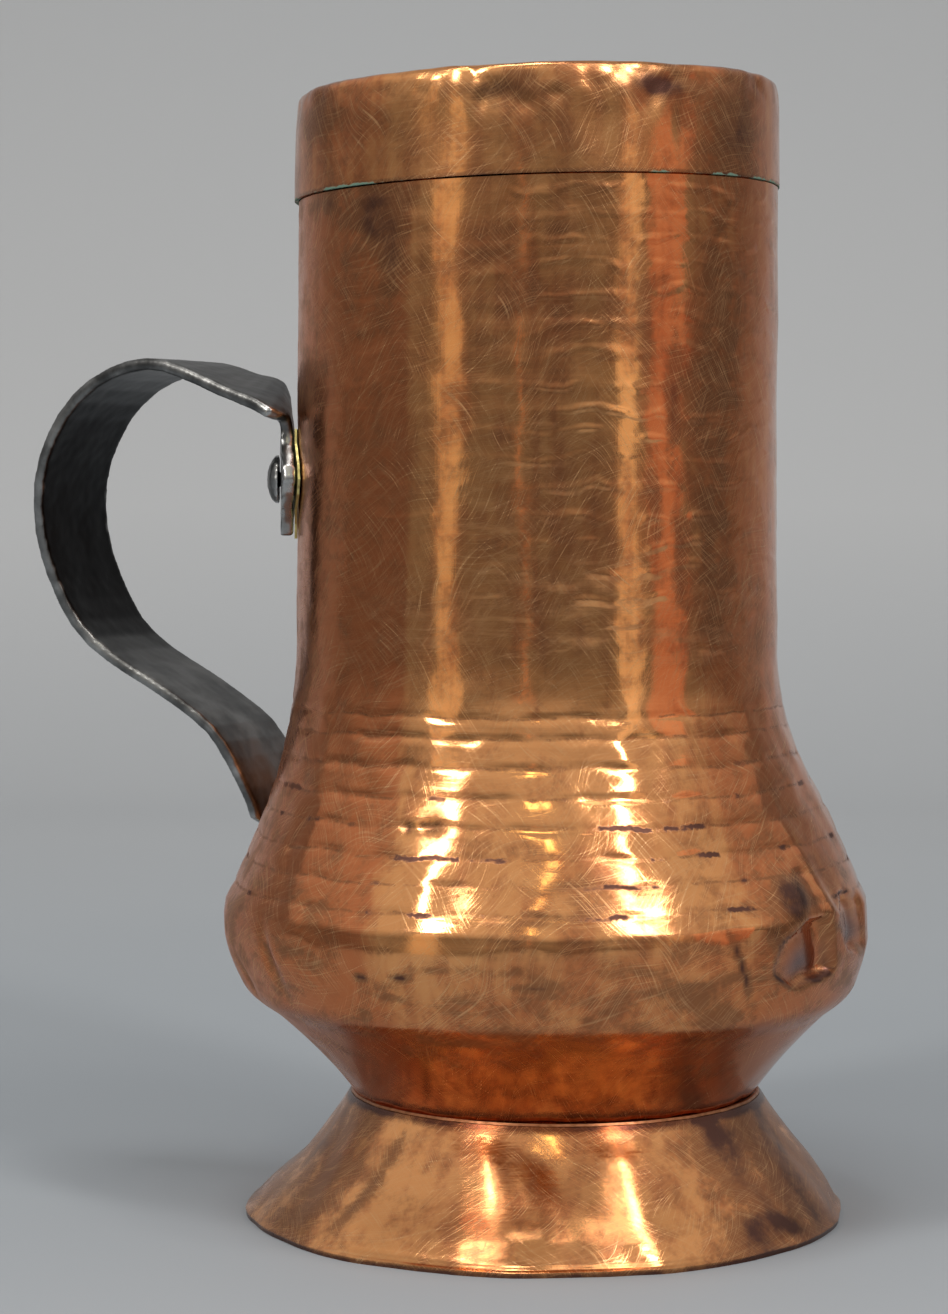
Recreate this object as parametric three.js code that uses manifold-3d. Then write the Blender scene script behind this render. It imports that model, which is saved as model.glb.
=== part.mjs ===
// A hand-raised copper chocolate pot with a cap lid and a forged iron strap handle.
// Millimetres, +Z up. The handle is on -X, and the pot stands on the hem of its foot at z = 0.
// The vessel is raised from sheet copper: straight neck, bell shoulder, creased belly, narrow waist.
// The bottom disc lies on the lip at the waist, and the flared foot is soldered on below it.

import * as THREE from 'three';
import { mergeVertices } from 'three/addons/utils/BufferGeometryUtils.js';
import Module from 'manifold-3d';

const wasm = await Module();
wasm.setup();

// Sheet and radii of the vessel.
const sheet = 1.0;
const neckRadius = 53.1;
const neckTaper = 0.4;
const crestRadius = 71.6;
const creaseInset = 0.6;
const waistRadius = 44.4;
const footRadius = 66.6;

// Heights, each measured from the level named before it.
const waistHeight = 27.3;
const undersideRise = 24.0;
const crestRise = 37.7;
const creaseRise = 5.5;
const shoulderRise = 56.5;
const neckRise = 98.5;
const skirtDepth = 23.0;

// Shape of the belly and the shoulder.
const undersideRadius = 67.6;
const undersidePull = new THREE.Vector2(9.0, 12.5);
const bellyPull = 5.5;
const shoulderStartPull = new THREE.Vector2(8.8, 18.5);
const shoulderEndPull = 20.0;

// Waist lip, bottom disc and foot.
const lipWidth = 6.0;
const bottomSheet = 1.2;
const bottomDish = 2.0;
const footSheet = 1.2;
const footFlareRadius = 63.4;
const footFlareHeight = 2.2;
const footSteepness = new THREE.Vector2(5.6, 11.3);
const hemHeight = 1.1;
const solderRadius = 0.55;
const solderReach = 1.1;

// Cap lid with its whisk hole.
const lidSheet = 0.9;
const lidStandProud = 0.4;
const lidCorner = 1.8;
const lidSkirtFlare = 0.35;
const whiskHoleRadius = 12.0;
const collarHeight = 3.0;
const collarFillet = 1.5;
const seatStep = 1.0;

// Forged strap handle and its leaf-shaped ends.
const strapWidth = 27.0;
const strapThickness = 2.8;
const strapEdge = 0.6;
const loopSkew = THREE.MathUtils.degToRad(28);
const lowerAzimuth = THREE.MathUtils.degToRad(27);
const upperRivetRise = 36.0;
const lowerRivetRise = 3.0;
const leafWidth = 23.0;
const leafTop = 10.5;
const leafBottom = 12.5;
const leafTip = 1.6;
const tabNeckWidth = 9.0;
const upperNeckLength = 7.5;
const lowerNeckLength = 3.5;
const strapShoulder = 5.0;
const strapRoll = 0.25;
const twistLength = 32.0;
const ribbonStart = 5.0;
const ribbonEnd = 4.0;
const padThickness = 0.5;
const padBorder = 0.6;

// Stations on the strap's centre line, as reach outwards and rise. Those of the arm and the grip
// are counted from the upper rivet, those of the return and the tail from the lower rivet.
const armFoot = new THREE.Vector2(0, 13.0);
const armBend = new THREE.Vector2(2.8, 17.6);
const armTop = new THREE.Vector2(11.6, 20.9);
const gripCrown = new THREE.Vector2(28.5, 25.7);
const gripShoulder = new THREE.Vector2(45.4, 20.0);
const gripFront = new THREE.Vector2(56.6, 5.1);
const gripReach = new THREE.Vector2(60.1, -13.0);
const gripTurn = new THREE.Vector2(54.5, -33.0);
const returnStart = new THREE.Vector2(24.2, 48.3);
const returnMiddle = new THREE.Vector2(10.5, 39.9);
const returnEnd = new THREE.Vector2(-0.2, 31.3);
const tailBend = new THREE.Vector2(-4.6, 21.0);
const tailFoot = 11.0;

// Rivets.
const rivetRadius = 1.6;
const rivetHeadRadius = 5.5;
const rivetHeadHeight = 2.7;
const innerHeadRadius = 4.4;
const innerHeadHeight = 1.3;
const innerHeadFace = 3.1;

// Clearances between separate pieces.
const seam = 0.3;
const lidClearance = 0.4;
const holeClearance = 0.3;
const innerHeadGap = 0.5;
const bottomClearance = 0.5;

// Out of true, as hammered: the waist stands off one way, the neck leans back towards the handle
// and the mouth is out of level.
const waistSway = 2.4;
const neckLean = 1.8;
const mouthSlope = Math.tan(THREE.MathUtils.degToRad(1.6));

// Fineness of the facets.
const turns = 56;
const undersideSteps = 4;
const bellySteps = 5;
const shoulderSteps = 8;
const dishSteps = 3;
const footSteps = 6;
const solderSides = 6;
const cornerSteps = 4;
const collarSteps = 3;
const leafSteps = 4;
const strapSteps = 52;
const rivetTurns = 16;
const rivetHeadSteps = 5;

// Levels and radii that follow from the sizes above.
const crestHeight = waistHeight + crestRise;
const creaseHeight = crestHeight + creaseRise;
const neckStart = creaseHeight + shoulderRise;
const seatHeight = neckStart + neckRise;
const lidTop = seatHeight + skirtDepth;
const mouthHeight = lidTop - lidSheet - seam;
const neckTopRadius = neckRadius - neckTaper;
const lidRadius = neckTopRadius + lidStandProud;
const seatRadius = lidRadius - lidSheet - lidClearance;
const padInner = seam;
const padOuter = padInner + padThickness;
const strapInner = padOuter + seam;
const strapOuter = strapInner + strapThickness;
const strapMiddle = (strapInner + strapOuter) / 2;
const drillLength = 4 * strapOuter;

const point = (radius, height) => new THREE.Vector2(radius, height);
const smooth = THREE.MathUtils.smoothstep;

// Stretches of a profile: a straight one and a curved one, with the steps that it is cut into.
const straight = (from, to) => [new THREE.LineCurve(from, to), 1];
const curved = (from, pull, to, steps) => [new THREE.QuadraticBezierCurve(from, pull, to), steps];

// Joins stretches end to end into one list of points.
function chain(...stretches) {
  return stretches.flatMap(([curve, steps], index) => curve.getPoints(steps).slice(index ? 1 : 0));
}

// Moves an open profile sideways, towards the axis for a profile that runs upwards.
function offsetProfile(points, distance) {
  return points.map((current, index) => {
    const before = points[Math.max(index - 1, 0)];
    const after = points[Math.min(index + 1, points.length - 1)];
    const along = after.clone().sub(before).normalize();
    return point(current.x - along.y * distance, current.y + along.x * distance);
  });
}

// Turns a profile about the pot's axis. A profile off the axis is closed on itself.
function turned(points, count = turns) {
  const offAxis = points[0].x > 0;
  const outline = offAxis ? [...points, points[0]] : points;
  const geometry = new THREE.LatheGeometry(outline, count);
  geometry.rotateX(Math.PI / 2);
  return geometry;
}

// Makes a closed geometry into a solid that can be joined and cut.
function solid(geometry) {
  const plain = geometry.clone();
  plain.deleteAttribute('normal');
  plain.deleteAttribute('uv');
  const merged = mergeVertices(plain);
  return new wasm.Manifold(new wasm.Mesh({
    numProp: 3,
    vertProperties: new Float32Array(merged.attributes.position.array),
    triVerts: new Uint32Array(merged.index.array),
  }));
}

// Makes a solid into a geometry again.
function geometryOf(body) {
  const mesh = body.getMesh();
  const geometry = new THREE.BufferGeometry();
  geometry.setAttribute('position', new THREE.BufferAttribute(mesh.vertProperties, 3));
  geometry.setIndex(new THREE.BufferAttribute(mesh.triVerts, 1));
  geometry.computeVertexNormals();
  return geometry;
}

// The outside of the vessel from the waist to the mouth.
function wallOutside() {
  const waist = point(waistRadius, waistHeight);
  const underside = point(undersideRadius, waistHeight + undersideRise);
  const waistPull = point(waistRadius + undersidePull.x, waistHeight + undersidePull.y);
  const crest = point(crestRadius, crestHeight);
  const crease = point(crestRadius - creaseInset, creaseHeight);
  const shoulderPull = point(crease.x - shoulderStartPull.x, crease.y + shoulderStartPull.y);
  const neckPull = point(neckRadius, neckStart - shoulderEndPull);
  const neckFoot = point(neckRadius, neckStart);
  const seat = point(neckTopRadius, seatHeight - seam);
  const seatTop = point(seatRadius, seatHeight - seam + seatStep);
  return chain(
    curved(waist, waistPull, underside, undersideSteps),
    curved(underside, point(crestRadius, crest.y - bellyPull), crest, bellySteps),
    straight(crest, crease),
    [new THREE.CubicBezierCurve(crease, shoulderPull, neckPull, neckFoot), shoulderSteps],
    straight(neckFoot, seat),
    straight(seat, seatTop),
    straight(seatTop, point(seatRadius, mouthHeight)),
  );
}

const outside = wallOutside();

// Where the vessel's outside stands at a height on the shoulder or the neck.
function wallRadiusAt(height) {
  const next = outside.findIndex((corner) => corner.y > height);
  const low = outside[next - 1];
  const high = outside[next];
  return THREE.MathUtils.mapLinear(height, low.y, high.y, low.x, high.x);
}

// A shell that follows the vessel's outside, from one distance off it to another.
function shellAround(inner, outer) {
  const near = offsetProfile(outside, -inner);
  const far = offsetProfile(outside, -outer).reverse();
  return solid(turned([...near, ...far].reverse()));
}

// A frame on the vessel's outside: X along its turn, Y up along it, Z straight out of it.
function seatOnWall(height, azimuth) {
  const above = height + rivetRadius;
  const below = height - rivetRadius;
  const slope = (wallRadiusAt(above) - wallRadiusAt(below)) / (above - below);
  const ahead = new THREE.Vector3(-Math.cos(azimuth), Math.sin(azimuth), 0);
  const across = new THREE.Vector3(-Math.sin(azimuth), -Math.cos(azimuth), 0);
  const up = ahead.clone().multiplyScalar(slope).setZ(1).normalize();
  const out = new THREE.Vector3().crossVectors(across, up);
  const place = ahead.clone().multiplyScalar(wallRadiusAt(height)).setZ(height);
  return new THREE.Matrix4().makeBasis(across, up, out).setPosition(place);
}

const upperSeat = seatOnWall(neckStart + upperRivetRise, 0);
const lowerSeat = seatOnWall(creaseHeight + lowerRivetRise, lowerAzimuth);

// The copper vessel, with a lip turned in at the waist and a hole for each rivet.
function bodyWall() {
  const inside = offsetProfile(outside, sheet).slice(1);
  const mouth = outside[outside.length - 1];
  inside[inside.length - 1] = point(mouth.x - sheet, mouth.y);
  const lipTop = waistHeight + sheet;
  const lipCorner = point(waistRadius - sheet / 2, lipTop);
  const lip = [point(waistRadius - lipWidth, lipTop), point(waistRadius - lipWidth, waistHeight)];
  const wall = solid(turned([...outside, ...inside.reverse(), lipCorner, ...lip]));
  return geometryOf(rivetHoles().reduce((cut, hole) => cut.subtract(hole), wall));
}

// The drillings of both rivets.
function rivetHoles() {
  return [upperSeat, lowerSeat].map((seat) => {
    const radius = rivetRadius + holeClearance;
    const drill = new THREE.CylinderGeometry(radius, radius, drillLength, rivetTurns);
    return solid(drill.rotateX(Math.PI / 2).applyMatrix4(seat));
  });
}

// The dished disc that closes the vessel. It lies on the lip at the waist.
function bodyBottom() {
  const rest = waistHeight + sheet + seam;
  const edge = waistRadius - bottomClearance;
  const well = waistRadius - lipWidth - bottomClearance;
  const lowest = rest - bottomDish;
  const under = chain(
    curved(point(0, lowest), point(well / 2, lowest), point(well, rest), dishSteps),
    straight(point(well, rest), point(edge, rest)),
  );
  const over = under.map((corner) => point(corner.x, corner.y + bottomSheet)).reverse();
  return turned([...under, ...over]);
}

// The flared foot: a lip under the vessel's lip, a hollow cone and a turned hem.
function foot() {
  const top = waistHeight - seam;
  const waist = point(waistRadius, top);
  const pull = point(waistRadius + footSteepness.x, top - footSteepness.y);
  const flare = point(footFlareRadius, footFlareHeight);
  const rim = point(footRadius, hemHeight);
  const outer = chain(curved(waist, pull, flare, footSteps), straight(flare, rim));
  const inner = offsetProfile(outer, -footSheet)
    .slice(1)
    .filter((corner) => corner.y > hemHeight);
  const hemInner = point(inner[inner.length - 1].x, 0);
  const lipUnder = top - footSheet;
  const lip = [point(waistRadius - footSheet / 2, lipUnder), point(waistRadius - lipWidth, lipUnder)];
  const section = [...outer, point(footRadius, 0), hemInner, ...inner.reverse(), ...lip];
  return turned([...section, point(waistRadius - lipWidth, top)].reverse());
}

// The bead of solder in the notch between the vessel and the foot.
function waistSolder() {
  const centre = point(waistRadius + solderReach, waistHeight - seam / 2);
  const bead = new THREE.EllipseCurve(centre.x, centre.y, solderRadius, solderRadius);
  return turned(bead.getPoints(solderSides).slice(0, -1));
}

// The cap lid: a flat top with a turned-up collar round the whisk hole, and a deep skirt.
function lid() {
  const underTop = lidTop - lidSheet;
  const collarTop = lidTop + collarHeight;
  const collarOuter = whiskHoleRadius + lidSheet;
  const collarFoot = collarOuter + collarFillet;
  const flatEdge = lidRadius - lidCorner;
  const cornerFoot = lidTop - lidCorner;
  const skirtRadius = lidRadius + lidSkirtFlare;
  const insideRadius = lidRadius - lidSheet;
  const innerFoot = whiskHoleRadius + collarFillet;
  const section = chain(
    straight(point(whiskHoleRadius, collarTop), point(collarOuter, collarTop)),
    straight(point(collarOuter, collarTop), point(collarOuter, lidTop + collarFillet)),
    curved(point(collarOuter, lidTop + collarFillet), point(collarOuter, lidTop),
      point(collarFoot, lidTop), collarSteps),
    straight(point(collarFoot, lidTop), point(flatEdge, lidTop)),
    curved(point(flatEdge, lidTop), point(lidRadius, lidTop), point(lidRadius, cornerFoot), cornerSteps),
    straight(point(lidRadius, cornerFoot), point(skirtRadius, seatHeight)),
    straight(point(skirtRadius, seatHeight), point(skirtRadius - lidSheet, seatHeight)),
    straight(point(skirtRadius - lidSheet, seatHeight), point(insideRadius, cornerFoot)),
    curved(point(insideRadius, cornerFoot), point(insideRadius, underTop),
      point(flatEdge, underTop), cornerSteps),
    straight(point(flatEdge, underTop), point(innerFoot, underTop)),
    curved(point(innerFoot, underTop), point(whiskHoleRadius, underTop),
      point(whiskHoleRadius, underTop + collarFillet), collarSteps),
  );
  return turned(section.reverse());
}

// The outline of a leaf-shaped handle end: a narrow neck, a full middle and a blunt tip.
function leafOutline(border) {
  const half = leafWidth / 2 + border;
  const neck = tabNeckWidth / 2 + border;
  const tip = leafTip / 2 + border;
  const top = leafTop + border;
  const bottom = -leafBottom - border;
  const upperPull = top / 2;
  const sidePull = bottom / 3;
  const tipPull = 2 * sidePull;
  const shape = new THREE.Shape();
  shape.moveTo(neck, top);
  shape.lineTo(-neck, top);
  shape.bezierCurveTo(-neck, upperPull, -half, upperPull, -half, 0);
  shape.bezierCurveTo(-half, sidePull, -tip, tipPull, -tip, bottom);
  shape.lineTo(tip, bottom);
  shape.bezierCurveTo(tip, tipPull, half, sidePull, half, 0);
  shape.bezierCurveTo(half, upperPull, neck, upperPull, neck, top);
  return shape;
}

// A leaf that follows the wall between two distances off it.
function leafOnWall(seat, inner, outer, border) {
  const cut = { depth: drillLength, bevelEnabled: false, curveSegments: leafSteps };
  const block = new THREE.ExtrudeGeometry(leafOutline(border), cut);
  block.translate(0, 0, -drillLength / 2).applyMatrix4(seat);
  return solid(block).intersect(shellAround(inner, outer));
}

// The centre line of the strap, from inside the upper leaf round the grip to inside the lower leaf.
function strapPath() {
  const outwards = new THREE.Vector3(-Math.cos(loopSkew), Math.sin(loopSkew), 0);
  const sideways = new THREE.Vector3(Math.sin(loopSkew), Math.cos(loopSkew), 0);
  const upper = new THREE.Vector3(0, 0, strapMiddle).applyMatrix4(upperSeat);
  const lower = new THREE.Vector3(0, 0, strapMiddle).applyMatrix4(lowerSeat);
  const station = (rivetPlace, { x: reach, y: rise }) => {
    const height = rivetPlace.z + rise;
    const share = THREE.MathUtils.clamp((upper.z - height) / (upper.z - lower.z), 0, 1);
    const side = THREE.MathUtils.lerp(upper.dot(sideways), lower.dot(sideways), share);
    return outwards.clone()
      .multiplyScalar(rivetPlace.dot(outwards) + reach)
      .addScaledVector(sideways, side)
      .setZ(height);
  };
  const upperStations = [
    new THREE.Vector2(0, ribbonStart), armFoot, armBend, armTop,
    gripCrown, gripShoulder, gripFront, gripReach, gripTurn,
  ];
  const lowerStations = [returnStart, returnMiddle, returnEnd, tailBend];
  const downTheWall = [tailFoot, ribbonEnd];
  return new THREE.CatmullRomCurve3([
    ...upperStations.map((place) => station(upper, place)),
    ...lowerStations.map((place) => station(lower, place)),
    ...downTheWall.map((rise) => new THREE.Vector3(0, rise, strapMiddle).applyMatrix4(lowerSeat)),
  ]);
}

// The strap without its leaves: a flat section with eased edges, carried along the centre line.
// It turns from the neck's tangent into the grip and on to the tangent at the lower rivet.
function strapRibbon() {
  const path = strapPath();
  const length = path.getLength();
  const rings = [];
  for (let step = 0; step <= strapSteps; step += 1) {
    const share = (1 - Math.cos(Math.PI * step / strapSteps)) / 2;
    const run = share * length;
    const entry = smooth(run, upperNeckLength, upperNeckLength + twistLength);
    const exit = smooth(length - run, lowerNeckLength, lowerNeckLength + twistLength);
    const turn = loopSkew * entry + (lowerAzimuth - loopSkew) * (1 - exit);
    const full = strapWidth / 2 / Math.cos(loopSkew - turn);
    const opening = smooth(run, upperNeckLength, upperNeckLength + strapShoulder);
    const closing = smooth(length - run, lowerNeckLength, lowerNeckLength + strapShoulder);
    const fullness = Math.min(opening, closing);
    const half = THREE.MathUtils.lerp(tabNeckWidth / 2, full, fullness);
    const centre = path.getPointAt(share);
    const roll = strapRoll * opening * (1 - entry);
    const across = new THREE.Vector3(Math.sin(turn), Math.cos(turn), roll);
    const out = new THREE.Vector3().crossVectors(path.getTangentAt(share), across).normalize();
    rings.push(strapSection(half).map(([side, rise]) => centre.clone()
      .addScaledVector(across, side)
      .addScaledVector(out, rise)));
  }
  return solid(loft(rings));
}

// The strap's flat section with its four edges eased.
function strapSection(half) {
  const rise = strapThickness / 2;
  const corner = [[half, rise - strapEdge], [half - strapEdge, rise]];
  const mirrored = [...corner].reverse().map(([side, height]) => [-side, height]);
  const upperHalf = [...corner, ...mirrored];
  return [...upperHalf, ...upperHalf.map(([side, height]) => [-side, -height])];
}

// Skins a row of rings with equal counts of points, and closes both ends.
function loft(rings) {
  const count = rings[0].length;
  const index = [];
  for (let ring = 0; ring < rings.length - 1; ring += 1) {
    for (let side = 0; side < count; side += 1) {
      const a = ring * count + side;
      const b = ring * count + (side + 1) % count;
      index.push(a, b, b + count, a, b + count, a + count);
    }
  }
  const last = (rings.length - 1) * count;
  for (let side = 1; side < count - 1; side += 1) {
    index.push(0, side + 1, side, last, last + side, last + side + 1);
  }
  const geometry = new THREE.BufferGeometry().setFromPoints(rings.flat());
  geometry.setIndex(index);
  return geometry;
}

// The whole handle, drilled for its rivets and kept off the wall by the pads.
function handleStrap() {
  const leaves = [upperSeat, lowerSeat].map((seat) => leafOnWall(seat, strapInner, strapOuter, 0));
  const joined = leaves.reduce((body, leaf) => body.add(leaf), strapRibbon());
  const clear = joined.subtract(shellAround(-sheet, strapInner));
  return geometryOf(rivetHoles().reduce((cut, hole) => cut.subtract(hole), clear));
}

// A thin brass shim between a handle end and the copper.
function handlePad(seat) {
  const pad = leafOnWall(seat, padInner, padOuter, padBorder);
  return geometryOf(rivetHoles().reduce((cut, hole) => cut.subtract(hole), pad));
}

// A rivet: domed head outside, shank through handle, pad and wall, flat head inside.
function rivet(seat) {
  const under = strapOuter + seam;
  const dome = new THREE.EllipseCurve(0, under, rivetHeadRadius, rivetHeadHeight, 0, Math.PI / 2);
  const inner = -sheet - innerHeadGap;
  const profile = [
    point(0, inner - innerHeadHeight),
    point(innerHeadFace, inner - innerHeadHeight),
    point(innerHeadRadius, inner - innerHeadHeight / 2),
    point(innerHeadRadius, inner),
    point(rivetRadius, inner),
    point(rivetRadius, under),
    ...dome.getPoints(rivetHeadSteps),
  ];
  profile[profile.length - 1].x = 0;
  const geometry = new THREE.LatheGeometry(profile, rivetTurns);
  return geometry.rotateX(Math.PI / 2).applyMatrix4(seat);
}

// Moves a finished piece out of true with the rest of the pot.
function settled(geometry) {
  const position = geometry.attributes.position;
  for (let index = 0; index < position.count; index += 1) {
    const height = position.getZ(index);
    const lean = neckLean * smooth(height, creaseHeight, neckStart);
    const sway = smooth(height, 0, waistHeight / 2) - smooth(height, waistHeight, creaseHeight);
    const slope = height > seatHeight - 2 * seam ? mouthSlope : 0;
    position.setZ(index, height + position.getX(index) * slope);
    position.setX(index, position.getX(index) + waistSway * sway - lean);
  }
  geometry.computeVertexNormals();
  return geometry;
}

const copper = () => new THREE.MeshStandardMaterial({ color: 0xb8683c, roughness: 0.32, metalness: 1 });
const iron = () => new THREE.MeshStandardMaterial({ color: 0x2c2b29, roughness: 0.5, metalness: 0.9 });
const brass = () => new THREE.MeshStandardMaterial({ color: 0xc2b25a, roughness: 0.45, metalness: 1 });
const solder = () => new THREE.MeshStandardMaterial({ color: 0xb9a07a, roughness: 0.5, metalness: 1 });

const pot = new THREE.Group();

function addPiece(name, geometry, material) {
  const mesh = new THREE.Mesh(settled(geometry), material);
  mesh.name = name;
  pot.add(mesh);
}

addPiece('body_wall', bodyWall(), copper());
addPiece('body_bottom', bodyBottom(), copper());
addPiece('foot', foot(), copper());
addPiece('waist_solder', waistSolder(), solder());
addPiece('lid', lid(), copper());
addPiece('handle_strap', handleStrap(), iron());
addPiece('upper_handle_pad', handlePad(upperSeat), brass());
addPiece('lower_handle_pad', handlePad(lowerSeat), brass());
addPiece('upper_handle_rivet', rivet(upperSeat), iron());
addPiece('lower_handle_rivet', rivet(lowerSeat), iron());

// The origin is on the table under the middle of the whole outline.
const extent = new THREE.Box3().setFromObject(pot);
pot.position.x = -(extent.min.x + extent.max.x) / 2;
pot.position.y = -(extent.min.y + extent.max.y) / 2;

export default pot;
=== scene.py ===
"""Dresses the frame of a hand-raised copper chocolate pot with its worn and hammered surfaces.

Every piece is made by its own operator, in metres. The handle is on -X, the camera looks along +Y
and +Z is up. A bearing is counted about the pot's axis from the front, positive towards +X.
"""

import math

import bmesh
import bpy
from bpy.props import FloatProperty, FloatVectorProperty, PointerProperty
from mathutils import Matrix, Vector, noise


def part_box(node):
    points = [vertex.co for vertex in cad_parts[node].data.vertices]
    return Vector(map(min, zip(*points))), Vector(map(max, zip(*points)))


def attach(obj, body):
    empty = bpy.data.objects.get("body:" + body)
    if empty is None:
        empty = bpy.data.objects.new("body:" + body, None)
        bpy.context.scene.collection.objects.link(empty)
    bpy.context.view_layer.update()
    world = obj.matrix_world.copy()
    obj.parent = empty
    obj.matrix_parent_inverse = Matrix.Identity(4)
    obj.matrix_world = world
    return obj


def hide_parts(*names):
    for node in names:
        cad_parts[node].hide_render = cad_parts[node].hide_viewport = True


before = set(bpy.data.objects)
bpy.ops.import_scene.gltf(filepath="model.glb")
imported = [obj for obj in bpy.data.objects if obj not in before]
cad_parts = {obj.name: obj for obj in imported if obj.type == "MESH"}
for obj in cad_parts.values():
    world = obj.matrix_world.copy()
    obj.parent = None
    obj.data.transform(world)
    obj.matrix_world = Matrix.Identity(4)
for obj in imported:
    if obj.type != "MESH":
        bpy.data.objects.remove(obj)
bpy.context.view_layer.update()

bl_info = {
    "name": "Copper Chocolate Pot",
    "version": (1, 0, 0),
    "blender": (4, 5, 0),
    "location": "View3D > Sidebar > Chocolate Pot",
    "description": "Models a hand-raised copper chocolate pot with a cap lid and an iron handle",
    "category": "Add Mesh",
}

MM = 0.001

# Levels between which the pot's axis leans and sways, and where its mouth goes out of level.
WAIST_HEIGHT = 27.3 * MM
CREASE_HEIGHT = 70.5 * MM
NECK_START = 127.0 * MM
TILT_START = 220.0 * MM
TILT_FULL = 224.9 * MM
MOUTH_SLOPE = math.tan(math.radians(1.6))

# A turn of an outline sharper than this is a corner, and a gentler one belongs to a curve. Beside
# a stretch so many times shorter than itself, a stretch stays straight.
CORNER_ANGLE = math.radians(35)
LONG_NEIGHBOUR = 3.0

# From one row of hammer marks on the neck to the next.
ROW_RISE = 5.6 * MM

# Points closer than this are one point.
MERGE_DISTANCE = 0.001 * MM

# Radii at which the marks of the vessel and of the foot are laid out.
VESSEL_MARKS = 60 * MM
FOOT_MARKS = 55 * MM


def middle_x(node):
    """X halfway across a node."""
    low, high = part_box(node)
    return (low.x + high.x) / 2


FOOT_AXIS = middle_x("foot")
WAIST_AXIS = middle_x("waist_solder")
NECK_AXIS = middle_x("lid")


def ramp(value, low, high):
    """0 below low, 1 above high and a smooth climb between them."""
    share = min(max((value - low) / (high - low), 0.0), 1.0)
    return share * share * (3 - 2 * share)


def hump(value, middle, width):
    """1 at the middle, falling smoothly to nothing about two widths away."""
    return math.exp(-(((value - middle) / width) ** 2))


def axis_at(height):
    """X of the pot's axis at a height."""
    sway = ramp(height, 0, WAIST_HEIGHT / 2) - ramp(height, WAIST_HEIGHT, CREASE_HEIGHT)
    lean = ramp(height, CREASE_HEIGHT, NECK_START)
    return FOOT_AXIS + (WAIST_AXIS - FOOT_AXIS) * sway + (NECK_AXIS - FOOT_AXIS) * lean


def settled(place):
    """Moves a point of the upright pot out of true, as the real one stands."""
    tilt = MOUTH_SLOPE * ramp(place.z, TILT_START, TILT_FULL)
    return Vector((place.x + axis_at(place.z), place.y, place.z + place.x * tilt))


def upright(place):
    """Brings a point in the plane of the handle back to the upright pot, as radius and height."""
    radius = place.x - axis_at(place.z)
    height = place.z - radius * MOUTH_SLOPE
    return Vector((radius, height if height > TILT_START else place.z))


def section_of(node):
    """The outline of a turned node, walked round in the plane through its axis, outside first."""
    bm = bmesh.new()
    bm.from_mesh(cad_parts[node].data)
    bmesh.ops.remove_doubles(bm, verts=bm.verts, dist=MERGE_DISTANCE)
    axis = middle_x(node)
    plane = {v for v in bm.verts if abs(v.co.y) < 0.02 * MM and v.co.x > axis - MM}
    beside = {v: [e.other_vert(v) for e in v.link_edges if e.other_vert(v) in plane] for v in plane}
    ends = [v for v in plane if len(beside[v]) == 1]
    walk = [max(ends or plane, key=lambda v: (v.co.z, v.co.x))]
    while True:
        ahead = [v for v in beside[walk[-1]] if v not in walk]
        if not ahead:
            break
        walk.append(max(ahead, key=lambda v: v.co.x))
    outline = [upright(v.co) for v in walk]
    bm.free()
    if ends:
        outline[0].x = outline[-1].x = 0
    return outline


def refined(outline, fine, coarse, closed=True, creases=(), worked=(0, 0), finest=1 * MM):
    """Cuts an outline into short steps along smooth curves, fine where the outside shows.

    The steps are finest between the two worked heights.
    """
    count = len(outline)

    def at(index):
        return outline[index % count] if closed else outline[min(max(index, 0), count - 1)]

    def headings(index):
        """The directions in which the outline comes to a point and leaves it."""
        before = at(index) - at(index - 1)
        after = at(index + 1) - at(index)
        if not before.length or not after.length:
            only = (before + after).normalized()
            return only, only
        creased = any(abs(at(index).y - crease) < 0.3 * MM for crease in creases)
        if creased or before.angle(after) > CORNER_ANGLE:
            return before.normalized(), after.normalized()
        if max(before.length, after.length) > LONG_NEIGHBOUR * min(before.length, after.length):
            longer = max(before, after, key=lambda chord: chord.length).normalized()
            return longer, longer
        blend = before.normalized() * after.length + after.normalized() * before.length
        return blend.normalized(), blend.normalized()

    steps = []
    for index in range(count if closed else count - 1):
        start, end = at(index), at(index + 1)
        chord = end - start
        outward = Vector((-chord.y, chord.x)).normalized()
        shows = outward.x > 0.05 or outward.y > 0.9
        spacing = fine if shows else coarse
        if shows and worked[0] < (start.y + end.y) / 2 < worked[1]:
            spacing = finest
        cuts = max(1, math.ceil(chord.length / spacing))
        leave = headings(index)[1] * chord.length
        arrive = headings(index + 1)[0] * chord.length
        for cut in range(cuts):
            t = cut / cuts
            ease = t * t * (3 - 2 * t)
            steps.append(
                start * (1 - ease)
                + end * ease
                + leave * (t * (1 - t) ** 2)
                - arrive * (t * t * (1 - t))
            )
    return steps if closed else steps + [outline[-1]]


def about_axis(radius, height, bearing):
    """The upright point at a radius, a height and a bearing."""
    return Vector((radius * math.sin(bearing), -radius * math.cos(bearing), height))


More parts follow.
